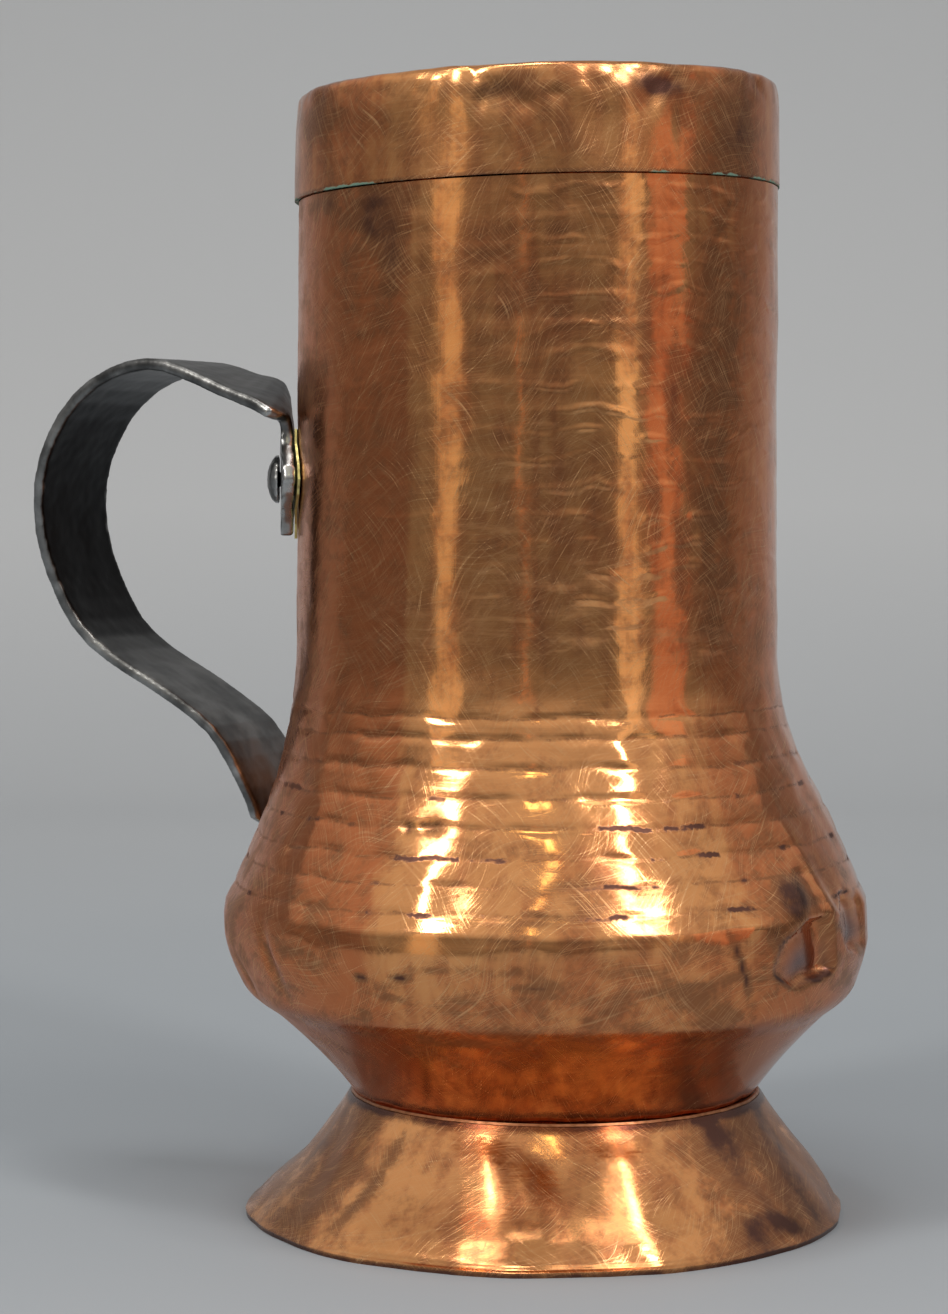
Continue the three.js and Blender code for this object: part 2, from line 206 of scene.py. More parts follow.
def turned(name, outline, turns, closed, beat, stains):
    """Spins an outline about the axis, beats the sheet out of true and stains it."""
    bm = bmesh.new()
    verts = [bm.verts.new((corner.x, 0, corner.y)) for corner in outline]
    edges = [bm.edges.new(pair) for pair in zip(verts, verts[1:])]
    if closed:
        edges.append(bm.edges.new((verts[-1], verts[0])))
    bmesh.ops.spin(
        bm,
        geom=verts + edges,
        cent=(0, 0, 0),
        axis=(0, 0, 1),
        dvec=(0, 0, 0),
        angle=math.tau,
        steps=turns,
        use_merge=True,
    )
    bmesh.ops.remove_doubles(bm, verts=bm.verts, dist=0.01 * MM)
    bmesh.ops.recalc_face_normals(bm, faces=bm.faces)
    layers = {stain: bm.verts.layers.float.new(stain) for stain in STAINS}
    for vert in bm.verts:
        radius = math.hypot(vert.co.x, vert.co.y)
        height = vert.co.z
        bearing = math.atan2(vert.co.x, -vert.co.y)
        out, up = beat(bearing, radius, height)
        for stain, amount in stains(bearing, radius, height).items():
            vert[layers[stain]] = amount
        vert.co = settled(about_axis(radius + out, height + up, bearing))
    return finished(name, bm)


def finished(name, bm):
    """Makes an object of a bmesh and shades it smooth, apart from its corners."""
    for face in bm.faces:
        face.smooth = True
    for edge in bm.edges:
        edge.smooth = len(edge.link_faces) == 2 and edge.calc_face_angle() < CORNER_ANGLE
    mesh = bpy.data.meshes.new(name)
    bm.to_mesh(mesh)
    bm.free()
    piece = bpy.data.objects.new(name, mesh)
    bpy.context.scene.collection.objects.link(piece)
    return piece


def placed(piece, body, slot, material, *nodes):
    """Sets a finished piece on its body in place of its nodes."""
    piece.data.materials.clear()
    piece.data.materials.append(material)
    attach(piece, body)
    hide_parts(*nodes)


def grain(place, size, seed=0.0):
    """Smooth noise from -1 to 1 with features of a given size. Each seed gives another pattern."""
    return noise.noise(place / size + Vector((seed, 2 * seed, 3 * seed)))


def laid_marks(bearing, height, across, rise):
    """Hammer marks laid in level rows, 0 on the ridges between them and 1 in their middles."""
    place = about_axis(VESSEL_MARKS, height, bearing)
    level = height / rise + 0.35 * grain(place, 14 * MM, 71.0)
    row = math.floor(level)
    count = round(math.tau * NECK_RADIUS / across)
    along = bearing / math.tau * count + 0.37 * row + 0.45 * grain(place, 9 * MM, 73.0)
    side, rest = along - math.floor(along) - 0.5, level - row - 0.5
    return 1 - 2 * (side * side + rest * rest)


def dishes(place, across, rise, seed=0.0):
    """Overlapping round hammer marks, 0 on the ridges between them and 1 in their middles."""
    spot = Vector((place.x / across + seed, place.y / across, place.z / rise))
    distance = noise.voronoi(spot)[0][0]
    return 1 - min(distance, 1.0) ** 2


# Stains are stored on the vertices: tool courses, dark hollows and painted shade, red tarnish and
# painted shade, dulled metal, a painted grey reflection and verdigris.
STAINS = ("course", "dark", "red", "matt", "wall_reflection", "green")

# Heights of the tool courses that run round the shoulder.
COURSES = tuple(height * MM for height in (74.2, 79.9, 85.3, 91.3, 97.0, 103.2, 109.3, 113.5))
COURSE_SPACING = (COURSES[-1] - COURSES[0]) / (len(COURSES) - 1)


def course_number(bearing, height):
    """Counts the tool courses up the shoulder. Whole numbers lie on a course, which wavers."""
    place = about_axis(VESSEL_MARKS, 0.5 * height, bearing)
    level = height + 0.7 * MM * grain(place, 14 * MM, 61.0) + 0.4 * MM * grain(place, 4 * MM, 63.0)
    below = sum(level >= course for course in COURSES)
    lower = min(max(below - 1, 0), len(COURSES) - 2)
    return lower + (level - COURSES[lower]) / (COURSES[lower + 1] - COURSES[lower])


class Dent:
    """A knock in the sheet: where it is, how wide and tall, how deep, its slant and its stain."""

    def __init__(self, bearing, height, width, rise, depth, slant=0.0, power=2, stain=0.0):
        self.bearing = math.radians(bearing)
        self.height = height * MM
        self.width = width * MM
        self.rise = rise * MM
        self.depth = depth * MM
        self.slant = math.radians(slant)
        self.power = power
        self.stain = stain

    def share(self, bearing, height):
        """1 in the middle of the knock and 0 outside it. A high power makes it a steep cup."""
        turn = (bearing - self.bearing + math.pi) % math.tau - math.pi
        across = turn * BELLY_RADIUS
        along = height - self.height
        if max(abs(across), abs(along)) > 2.5 * max(self.width, self.rise):
            return 0.0
        side = (across * math.cos(self.slant) + along * math.sin(self.slant)) / self.width
        line = (along * math.cos(self.slant) - across * math.sin(self.slant)) / self.rise
        return math.exp(-(math.hypot(side, line) ** self.power))


def stained(bearing, height, width, rise, stain, slant=0.0):
    """A stain where the sheet isn't knocked."""
    return Dent(bearing, height, width, rise, 0.0, slant, 2, stain)


class Fold:
    """A buckle in the sheet: a sunken facet, rounded at its start, that falls to a steep wall."""

    def __init__(self, start, valley, end, low, high, climb, depth, rim_shade):
        self.start, self.end = start, end
        self.valley = (valley - start) / (end - start)
        self.middle, self.half = (low + high) / 2 * MM, (high - low) / 2 * MM
        self.climb = climb * MM
        self.depth = depth * MM
        self.rim_shade = rim_shade

    def place(self, bearing, height):
        """The share of the way along the buckle, metres in from its rim, and metres up."""
        spot = about_axis(BELLY_RADIUS, height, bearing)
        turn = math.degrees(bearing) + 1.3 * grain(spot, 7 * MM, 81.0)
        along = (turn - self.start) / (self.end - self.start)
        level = height + 1.2 * MM * grain(spot, 6 * MM, 83.0)
        up = level - self.middle - self.climb * (along - 0.5)
        near = min(max(along / 0.6, 0.0), 1.0)
        half = self.half * math.sqrt(1 - (1 - near) ** 2)
        return along, half - abs(up), up

    def share(self, bearing, height):
        """How far the sheet is pushed in, as a share of the depth."""
        along, inside, _ = self.place(bearing, height)
        if inside <= 0 or along >= 1:
            return 0.0
        valley = self.valley
        fall = along / valley if along < valley else (1 - along) / (1 - valley)
        return ramp(inside, 0, 2.4 * MM) * ramp(1 - along, 0, 0.09) * (0.3 + 0.7 * fall)

    def edges(self, bearing, height):
        """1 on the painted shade round the buckle's rim and steep wall, which is fainter at its
        top.
        """
        along, inside, up = self.place(bearing, height)
        if not -0.2 < along < 1.2:
            return 0.0
        low = 1 - ramp(up, -1 * MM, 3 * MM)
        rim = hump(inside, 0.7 * MM, 0.9 * MM) * max(low, ramp(0.35 - along, 0, 0.2)) * (along < 1)
        wall = 0.5 * hump(along, 0.93, 0.05) * ramp(inside, -1 * MM, 1 * MM)
        broken = 0.7 + 0.6 * grain(about_axis(BELLY_RADIUS, height, bearing), 4 * MM, 85.0)
        return self.rim_shade * (rim + wall) * broken

    def floor(self, bearing, height):
        """1 in the lower middle of the facet, where a grey reflection of the wall is painted."""
        along, inside, up = self.place(bearing, height)
        return hump(along, 0.5, 0.3) * ramp(inside, 1 * MM, 4 * MM) * hump(up, -2 * MM, 3.5 * MM)


# The belly's knocks lie below this height and the neck's stains above it. The sheet is beaten out
# no further than the crest's radius.
KNOCKS_END = 110 * MM
BELLY_RADIUS = 70 * MM
CREST_RADIUS = 71.45 * MM

# The last number of each buckle is the strength of the painted shade along its rim.
BELLY_FOLDS = (
    Fold(40.5, 55.4, 58.0, 56.5, 71.0, 2.5, 3.4, 1.1),
    Fold(60.0, 68.0, 76.0, 60.5, 75.0, -1.5, 2.4, 0.45),
)
BELLY_DENTS = (
    # Beside the two buckles at the right: a swelling above them with a painted dark reflection on
    # it, and scores at their left.
    Dent(47.0, 75.5, 5.6, 4.8, -1.1, 20, 3, 1.1),
    stained(41.5, 68.5, 2.6, 3.4, 0.7),
    Dent(58.0, 71.0, 2.2, 10.0, -0.8, 10),
    Dent(37.5, 68.0, 2.2, 4.5, -0.6, 20),
    Dent(33.5, 62.0, 0.7, 7.5, 0.45, 22, 2, 0.9),
    Dent(24.5, 56.5, 6.5, 3.4, 0.8, -12, 2, 0.45),
    Dent(12.0, 60.0, 10.0, 2.6, -0.35, 8),
    # The slanting knocks at the left of the belly.
    Dent(-56.5, 61.5, 1.5, 6.0, 1.0, 20, 2, 0.6),
    Dent(-71.0, 55.0, 2.0, 4.0, 0.8, 24, 2, 0.4),
    Dent(-50.0, 66.0, 6.0, 4.0, -0.4, 10),
    # Small pits.
    Dent(-28.1, 90.8, 1.5, 1.1, 0.5, 0, 2, 0.9),
    Dent(-23.5, 91.2, 1.9, 0.9, 0.3, 0, 2, 0.7),
    Dent(-33.8, 60.8, 1.6, 0.8, 0.4, 0, 2, 1.0),
    Dent(-26.0, 61.5, 2.1, 0.8, 0.35, 0, 2, 1.0),
    Dent(-3.0, 60.3, 4.5, 0.7, 0.2, 0, 2, 0.5),
    Dent(-18.0, 47.0, 5.0, 1.0, 0.25, 4, 2, 0.5),
    # Hollows and ridges that break up the reflections of the shoulder.
    Dent(13.0, 86.0, 5.0, 8.0, -0.35, 4),
    Dent(-22.0, 80.0, 5.0, 9.0, -0.3, -6),
    Dent(37.0, 85.0, 14.0, 8.0, 1.1),
    Dent(-12.0, 82.0, 11.0, 8.0, 0.6),
    Dent(4.0, 90.0, 6.0, 12.0, -0.35, 8),
    # Broad swellings and knocks all round.
    Dent(88.0, 88.0, 16.0, 13.0, -1.2),
    Dent(140.0, 63.0, 7.0, 6.0, 1.1, 12, 4),
    Dent(-150.0, 66.0, 5.0, 7.0, 0.8, -15),
    Dent(175.0, 100.0, 12.0, 9.0, 0.5),
)
NECK_STAINS = (
    # Dark patches under the lid, and a few lower on the neck.
    stained(-41.0, 218.0, 9.0, 9.0, 0.75),
    stained(-60.0, 222.0, 12.0, 4.0, 0.6),
    stained(-36.0, 207.0, 4.0, 8.0, 0.45),
    stained(46.0, 200.0, 8.0, 30.0, 0.3),
    stained(42.0, 150.0, 7.0, 22.0, 0.35),
    stained(23.5, 197.0, 1.9, 12.0, 0.5, 4),
    stained(31.5, 180.0, 2.3, 14.0, 0.6, -4),
    stained(26.5, 158.0, 1.8, 8.0, 0.5, 8),
    stained(33.0, 145.0, 2.6, 12.0, 0.5),
)


def vessel_beat(bearing, radius, height):
    """The planished neck, the tool courses of the shoulder, the crease and the dents."""
    settings = bpy.context.scene.pot_vessel
    place = about_axis(VESSEL_MARKS, height, bearing)
    neck = ramp(height, 112 * MM, 128 * MM)
    shoulder = ramp(height, CREASE_HEIGHT, CREASE_HEIGHT + 3 * MM) * (1 - neck)
    underside = 1 - ramp(height, 48 * MM, 60 * MM)
    out = 0.4 * MM * grain(place, 50 * MM)
    out += 0.1 * MM * grain(Vector((place.x, place.y, 0.25 * place.z)), 9 * MM, 3.0)
    wavy = neck * (1 - ramp(height, 200 * MM, 222 * MM))
    out += 0.28 * MM * grain(place, 21 * MM, 27.0) * wavy
    firm = 0.35 + 0.65 * ramp(grain(place, 17 * MM, 8.0), -0.4, 0.4)
    out += settings.planishing * laid_marks(bearing, height, 11 * MM, ROW_RISE) * firm * neck
    out += 0.5 * settings.planishing * dishes(place, 9 * MM, 7 * MM) * (1 - neck)
    level = Vector((0.3 * place.x, 0.3 * place.y, place.z))
    out += settings.bands * grain(level, 3 * MM, 9.0) * neck
    if shoulder:
        number = course_number(bearing, height)
        nearest = round(number)
        off = (number - nearest) * COURSE_SPACING
        line = Vector((place.x, place.y, nearest * 40 * MM))
        struck = 0.35 + 0.65 * ramp(grain(line, 7 * MM, 5.0), -0.2, 0.4)
        on_courses = ramp(number, -0.9, -0.4) * (1 - ramp(number, len(COURSES) - 0.6, len(COURSES)))
        out -= settings.course_depth * hump(off, 0, 0.75 * MM) * struck * on_courses * shoulder
        out += 0.26 * MM * grain(place, 7 * MM, 7.0) * shoulder
    out += 0.3 * MM * grain(Vector((place.x, place.y, 0.4 * place.z)), 10 * MM, 5.0) * underside
    if height < KNOCKS_END:
        knocks = BELLY_DENTS + BELLY_FOLDS
        out -= sum(knock.depth * knock.share(bearing, height) for knock in knocks)
    crease = hump(height, 67 * MM, 8 * MM)
    out += 0.28 * MM * grain(place, 8 * MM, 15.0) * crease
    return min(out, CREST_RADIUS - radius), 0.8 * MM * grain(place, 15 * MM, 16.0) * crease


def vessel_stains(bearing, radius, height):
    """Where the courses run, where the sheet is dark, where its tarnish is red, with painted shade
    in both, and where a grey reflection is painted.
    """
    marks = BELLY_DENTS if height < KNOCKS_END else NECK_STAINS
    dark = sum(mark.stain * mark.share(bearing, height) for mark in marks)
    wall_reflection = 0.0
    if height < KNOCKS_END:
        # Painted shade along the buckles' rims and walls.
        dark += sum(fold.edges(bearing, height) for fold in BELLY_FOLDS)
        # A painted grey reflection of the wall in the buckles' facets.
        wall_reflection = sum(fold.floor(bearing, height) for fold in BELLY_FOLDS)
    # Painted shade: the red tarnish is pushed up towards the sides and back, and below the crease.
    side = ramp(bearing, 0.5, 0.8) + 1.8 * ramp(-bearing, 0.5, 0.65)
    low = 1 - ramp(height, CREASE_HEIGHT - 6 * MM, CREASE_HEIGHT)
    place = about_axis(VESSEL_MARKS, height, bearing)
    streaked = Vector((place.x, place.y, 2.5 * place.z))
    clouded = ramp(grain(streaked, 12 * MM, 91.0) + 0.6 * grain(streaked, 4 * MM, 92.0), -0.2, 0.9)
    dark += 0.3 * clouded * ramp(height, 44 * MM, 52 * MM) * (1 - ramp(height, 68 * MM, 100 * MM))
    if radius < NECK_RADIUS - 1.2 * MM and height > NECK_START:
        dark = 0.8
    return {
        "course": course_number(bearing, height),
        "dark": min(dark, 1.0),
        "red": side + 0.3 * low,
        "matt": 0.6 * low * ramp(height, 36 * MM, 46 * MM) + 0.9 * ramp(-bearing, 0.85, 1.2),
        "wall_reflection": wall_reflection,
    }


# How much fuller the foot's cone is than a hollow curve, as height and radius in mm.
FOOT_FULLNESS = (
    (1.0, 0.0),
    (2.0, 2.0),
    (3.3, 2.7),
    (8.0, 2.6),
    (16.0, 2.1),
    (26.0, 1.5),
    (28.0, 1.1),
)


def fullness(height):
    """The foot's added radius at a height."""
    for (low, before), (high, after) in zip(FOOT_FULLNESS, FOOT_FULLNESS[1:]):
        if low * MM <= height < high * MM:
            return MM * (before + (after - before) * (height / MM - low) / (high - low))
    return 0.0


def foot_beat(bearing, radius, height):
    """The foot's sheet, drawn out in broad uneven flats."""
    settings = bpy.context.scene.pot_foot
    place = about_axis(FOOT_MARKS, height, bearing)
    below_lip = ramp(radius, 44 * MM, 49 * MM)
    slope = about_axis(FOOT_MARKS, height, bearing + 0.25 * height / WAIST_HEIGHT)
    flats = grain(Vector((slope.x, slope.y, 0.1 * slope.z)), 14 * MM, 11.0)
    ripples = grain(Vector((slope.x, slope.y, 0.4 * slope.z)), 6 * MM, 13.0)
    out = settings.unevenness * (flats + 0.25 * ripples) * below_lip + fullness(height)
    edge = 1 - ramp(height, 0.5 * MM, 6 * MM)
    out -= 0.6 * MM * edge * (0.5 + 0.5 * grain(place, 10 * MM, 17.0))
    return out, 0.0


FOOT_STAINS = (
    # Dark patches at the right of the foot and a streak at its left.
    stained(44.0, 22.0, 7.0, 6.0, 0.5, -20),
    stained(43.0, 6.0, 4.0, 2.6, 0.6),
    stained(52.0, 5.0, 6.0, 2.0, 0.7, -25),
    stained(-45.0, 15.0, 2.4, 10.0, 0.6, -12),
)


def foot_stains(bearing, radius, height):
    """Brown patches on the foot's flats, painted shade on its sides, a painted shadow at its bottom
    edge and a dark line at the waist.
    """
    place = about_axis(FOOT_MARKS, height, bearing)
    # Painted shade: the foot is made darker and redder towards its sides and back, with brown
    # patches there.
    side = ramp(bearing, 0.45, 0.8) + ramp(-bearing, 0.7, 1.1)
    patches = ramp(grain(Vector((place.x, place.y, 0.4 * place.z)), 12 * MM, 19.0), -0.05, 0.4)
    dark = (0.3 + 0.15 * ramp(bearing, 0.0, 0.5) + 0.3 * patches) * min(side, 1.0)
    dark += sum(mark.stain * mark.share(bearing, height) for mark in FOOT_STAINS)
    # A painted contact shadow along the bottom edge, and a dark line where the foot meets the
    # waist.
    dark += 0.9 * (1 - ramp(height, 0.3 * MM, 1.4 * MM)) + 0.7 * ramp(height, 25.2 * MM, 26.4 * MM)
    return {"dark": dark, "red": 0.5 * side, "matt": 0.3 * side}


# The lid's top edge, the neck's outside and the foot of the lid's skirt.
LID_TOP = 248.5 * MM
NECK_RADIUS = 53.1 * MM
SKIRT_FOOT = 225.5 * MM

LID_DENTS = (
    # Knocks under the lid's top edge.
    Dent(-25.0, 239.0, 7.0, 9.0, 0.3, 14),
    Dent(-9.0, 242.0, 6.5, 3.0, 0.5, -6),
    Dent(-4.0, 239.5, 2.2, 1.8, 0.4),
    Dent(-14.0, 240.5, 1.8, 2.2, 0.35, 20),
    Dent(3.0, 241.5, 2.4, 1.6, 0.35),
    Dent(13.0, 236.0, 5.0, 8.0, 0.4, -12),
    Dent(25.0, 241.0, 4.0, 3.5, 0.5, 18),
    Dent(33.0, 236.0, 3.2, 6.0, 0.3, 0),
    Dent(-52.0, 236.0, 7.0, 6.0, 0.4, 8),
    Dent(120.0, 237.0, 8.0, 6.0, 0.45, -8),
    Dent(-160.0, 240.0, 6.0, 5.0, 0.4, 10),
)


def lid_beat(bearing, radius, height):
    """The lid's skirt, nearly true, and its top edge closed down with a hammer."""
    settings = bpy.context.scene.pot_lid
    rim = NECK_RADIUS
    place = about_axis(rim, height, bearing)
    wall = ramp(radius, rim - 4 * MM, rim - MM)
    corner = ramp(height, LID_TOP - 9 * MM, LID_TOP - 3 * MM) * ramp(radius, rim - 6 * MM, rim - MM)
    knocks = 1 - dishes(place, 5 * MM, 4 * MM, 4.0)
    uneven = 0.32 * MM * grain(place, 19 * MM, 21.0) + 0.05 * MM * grain(place, 7 * MM, 22.0)
    beaten = 0.25 + 0.75 * ramp(grain(place, 15 * MM, 24.0), -0.3, 0.3)
    eased = ramp(height, LID_TOP - 7 * MM, LID_TOP + 3 * MM)
    out = wall * (uneven - 0.6 * MM * eased - 0.6 * MM * knocks * corner * beaten)
    out -= wall * sum(dent.depth * dent.share(bearing, height) for dent in LID_DENTS)
    up = -settings.edge_knocks * corner * (0.5 + 0.5 * grain(place, 8 * MM, 23.0))
    top = 1 - wall
    up -= top * 0.3 * MM * (0.5 + 0.5 * grain(about_axis(radius, 0, bearing), 14 * MM, 25.0))
    return out, up


LID_STAINS = (
    # Dark patches below the lid's top edge.
    stained(27.0, 243.5, 8.0, 3.2, 1.0, -8),
    stained(34.0, 238.0, 2.6, 6.0, 0.45, 6),
    stained(-11.0, 243.0, 9.0, 2.4, 0.7),
    stained(-62.0, 240.0, 6.0, 4.0, 0.45),
    stained(50.0, 234.0, 10.0, 10.0, 0.6),
)


def lid_stains(bearing, radius, height):
    """Verdigris and a painted shadow along the foot of the skirt, dark patches near the top edge,
    and painted shade on the sides.
    """
    place = about_axis(NECK_RADIUS, 0, bearing)
    patches = ramp(grain(place, 9 * MM, 31.0) + 0.5 * grain(place, 2 * MM, 33.0), -0.3, 0.5)
    side = ramp(bearing, 0.25, 0.7) + ramp(-bearing, 0.3, 0.9)
    low = 1 - ramp(height, SKIRT_FOOT + 0.1 * MM, SKIRT_FOOT + 0.9 * MM)
    dark = 0.05 + sum(mark.stain * mark.share(bearing, height) for mark in LID_STAINS)
    # Painted shade: the lid is redder towards its sides.
    red = ramp(bearing, 0.5, 0.8) + 0.6 * ramp(-bearing, 0.5, 0.8)
    green = low * (0.45 * side + 0.8 * patches) * min(0.2 + side, 1.0)
    # The dark along the foot of the skirt is a painted shadow where the lid meets the neck.
    return {"green": green, "dark": dark + 0.6 * low, "red": red, "matt": 0.1}


def plain_beat(bearing, radius, height):
    """A slight unevenness, as in any hand-made sheet."""
    return 0.08 * MM * grain(about_axis(radius, height, bearing), 12 * MM, 41.0), 0.0


def no_stains(bearing, radius, height):
    """A clean surface."""
    return {}


def solder_beat(bearing, radius, height):
    """A bead that thickens and thins."""
    return (0.2 * grain(about_axis(45 * MM, 0, bearing), 5 * MM, 43.0) - 0.45) * MM, 0.0


# The inner face of the grip is painted blackest, as shade, above the first heights, and the arm is
# painted dark, as shade, above the second. The rubbed metal reaches this many faces in from an
# edge, and fades a little with each.
INNER_SHADE_HEIGHTS = (104 * MM, 128 * MM)
ARM_HEIGHTS = (170 * MM, 185 * MM)
WEAR_STEPS = 4
WEAR_FADE = 0.85


def forged(name, node, voxel, depth, size):
    """A copy of a solid iron node, its edges eased and its faces marked by the hammer."""
    bm = bmesh.new()
    bm.from_mesh(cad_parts[node].data)
    bmesh.ops.remove_doubles(bm, verts=bm.verts, dist=MERGE_DISTANCE)
    rough = finished(name + "_rough", bm)
    remesh = rough.modifiers.new("Even faces", "REMESH")
    remesh.mode = "VOXEL"
    remesh.voxel_size = voxel
    ease = rough.modifiers.new("Eased edges", "SMOOTH")
    ease.factor = 0.5
    ease.iterations = EASING_ROUNDS
    shaped = rough.evaluated_get(bpy.context.evaluated_depsgraph_get())
    bm = bmesh.new()
    bm.from_mesh(shaped.to_mesh())
    bpy.data.objects.remove(rough)
    bm.normal_update()
    worn = bm.verts.layers.float.new("worn")
    handle_shade = bm.verts.layers.float.new("handle_shade")
    for vert in bm.verts:
        beside = [edge.other_vert(vert).co for edge in vert.link_edges]
        mean = sum(beside, Vector()) / len(beside)
        bend = (vert.co - mean).dot(vert.normal) / voxel
        vert[worn] = ramp(bend, 0.03, 0.16)
        # Painted shade: the inner face towards the pot and the upper arm are darkened.
        vert[handle_shade] = ramp(vert.normal.x, 0.1, 0.7) * ramp(vert.co.z, *INNER_SHADE_HEIGHTS)
        vert[handle_shade] += 0.6 * ramp(vert.co.z, *ARM_HEIGHTS) * (1 - vert[handle_shade])
    for _ in range(WEAR_STEPS):
        spread = [max(edge.other_vert(vert)[worn] for edge in vert.link_edges) for vert in bm.verts]
        for vert, amount in zip(bm.verts, spread):
            vert[worn] = max(vert[worn], WEAR_FADE * amount)
    for _ in range(WEAR_STEPS):
        even = [sum(edge.other_vert(vert)[worn] for edge in vert.link_edges) for vert in bm.verts]
        for vert, total in zip(bm.verts, even):
            vert[worn] = total / len(vert.link_edges)

    def struck(place):
        return grain(place, size, 51.0) + 0.4 * grain(place, size / 3, 53.0) - 0.4

    for vert in bm.verts:
        vert.co += vert.normal * depth * struck(vert.co)
    return finished(name, bm)


class Value:
    """A number that varies over a surface. Sums and products of it add Math nodes."""

    def __init__(self, shader, socket):
        self.shader = shader
        self.socket = socket

    def math(self, operation, *others):
        """Applies a Math node to this value and the others."""
        values = {0: self, **dict(enumerate(others, 1))}
        return self.shader.node("Math", {"operation": operation}, values)

    def __add__(self, other):
        return self.math("ADD", other)

    def __mul__(self, other):
        return self.math("MULTIPLY", other)

    def __sub__(self, other):
        return self.math("SUBTRACT", other)

    def __rsub__(self, other):
        return self.shader.node("Math", {"operation": "SUBTRACT"}, {0: other, 1: self})

    __radd__ = __add__
    __rmul__ = __mul__

    def between(self, low, high):
        """Climbs smoothly from 0 at low to 1 at high."""
        settings = {"interpolation_type": "SMOOTHSTEP"}
        values = {"Value": self, "From Min": low, "From Max": high}
        return self.shader.node("MapRange", settings, values)


class Finish:
    """A material and its nodes, with a metal shader that its surface feeds."""

    def __init__(self, name, tree=None):
        self.tree = tree
        if tree:
            return
        self.material = bpy.data.materials.new(name)
        self.material.use_nodes = True
        self.tree = self.material.node_tree
        self.tree.nodes.clear()
        self.shader = self.tree.nodes.new("ShaderNodeBsdfPrincipled")
        output = self.tree.nodes.new("ShaderNodeOutputMaterial")
        self.tree.links.new(self.shader.outputs["BSDF"], output.inputs["Surface"])
        self.place = self.node("TexCoord", output="Object")

    def node(self, kind, settings=None, values=None, output=0):
        """Adds a node, sets it up, feeds its sockets and returns one of its outputs."""
        made = self.tree.nodes.new("ShaderNode" + kind)
        for name, setting in (settings or {}).items():
            setattr(made, name, setting)
        for name, value in (values or {}).items():
            self.feed(made.inputs[name], value)
        return Value(self, made.outputs[output])

    def feed(self, socket, value):
        """Links a value to a socket, or sets a plain one on it."""
        if isinstance(value, Value):
            self.tree.links.new(value.socket, socket)
        else:
            socket.default_value = value

    def noise(self, size, detail=2.0, stretch=(1, 1, 1), turn=(0, 0, 0), spot=None):
        """Noise with features of a given size in metres, stretched along the turned axes."""
        scale = [1 / (size * part) for part in stretch]
        spot = self.node("Mapping", {}, {"Vector": spot or self.place, "Rotation": turn})
        spot = self.node("VectorMath", {"operation": "MULTIPLY"}, {0: spot, 1: scale})
        return self.node("TexNoise", {}, {"Vector": spot, "Scale": 1.0, "Detail": detail})

    def axes(self, spot):
        """The X, Y and Z of a place."""
        split = self.node("SeparateXYZ", {}, {0: spot}).socket.node
        return [Value(self, socket) for socket in split.outputs]

    def unrolled(self, flat):
        """The sheet laid flat, so that what is drawn on it runs along it, in slow curves.

        A piece with a flat top is laid out from its axis, and any other by its height.
        """
        x, y, z = self.axes(self.place)
        x = x - NECK_AXIS
        turn = x.math("ARCTAN2", y * -1) * VESSEL_MARKS
        level = z - (x * x + y * y).math("SQRT") if flat else z
        spot = self.node("CombineXYZ", {}, {"X": turn, "Y": level})
        bend = {"Vector": spot, "Scale": 1 / (18 * MM), "Detail": 0.0}
        bend = self.node("TexNoise", {}, bend, output="Color")
        bend = self.node("VectorMath", {"operation": "SCALE"}, {0: bend, "Scale": 9 * MM})
        return self.node("VectorMath", {}, {0: spot, 1: bend})

    def hairline(self, sheet, size, length, lean):
        """Sparse fine scratches that lean one way on the unrolled sheet, 1 on a scratch."""
        stretch = (1, length, length)
        return self.noise(size, 1.0, stretch, (0, 0, lean), sheet).between(0.52, 0.82)

    def stain(self, name):
        """A stain stored on the surface's own points."""
        return self.node("Attribute", {"attribute_name": name}, output="Fac")

    def mix(self, share, first, second):
        """A colour between two, by share."""
        settings = {"data_type": "RGBA"}
        return self.node("Mix", settings, {0: share, 6: first, 7: second}, output=2)

    def blend(self, share, first, second):
        """A colour between two settings, by share."""
        return self.mix(share, colour_of(first), colour_of(second))

    def finish(self, colour, roughness, metallic=1.0, normal=None):
        """Feeds the shader and hands back the material."""
        self.feed(self.shader.inputs["Base Color"], colour)
        self.feed(self.shader.inputs["Roughness"], roughness)
        self.feed(self.shader.inputs["Metallic"], metallic)
        if normal:
            self.feed(self.shader.inputs["Normal"], normal)
        return self.material

    def bump(self, height, distance, strength=1.0):
        """A bump whose height is in units of a distance in metres."""
        values = {"Height": height, "Distance": distance, "Strength": strength}
        return self.node("Bump", {}, values, output="Normal")


def colour_of(setting):
    """A setting's colour with full alpha."""
    return (*setting, 1.0)


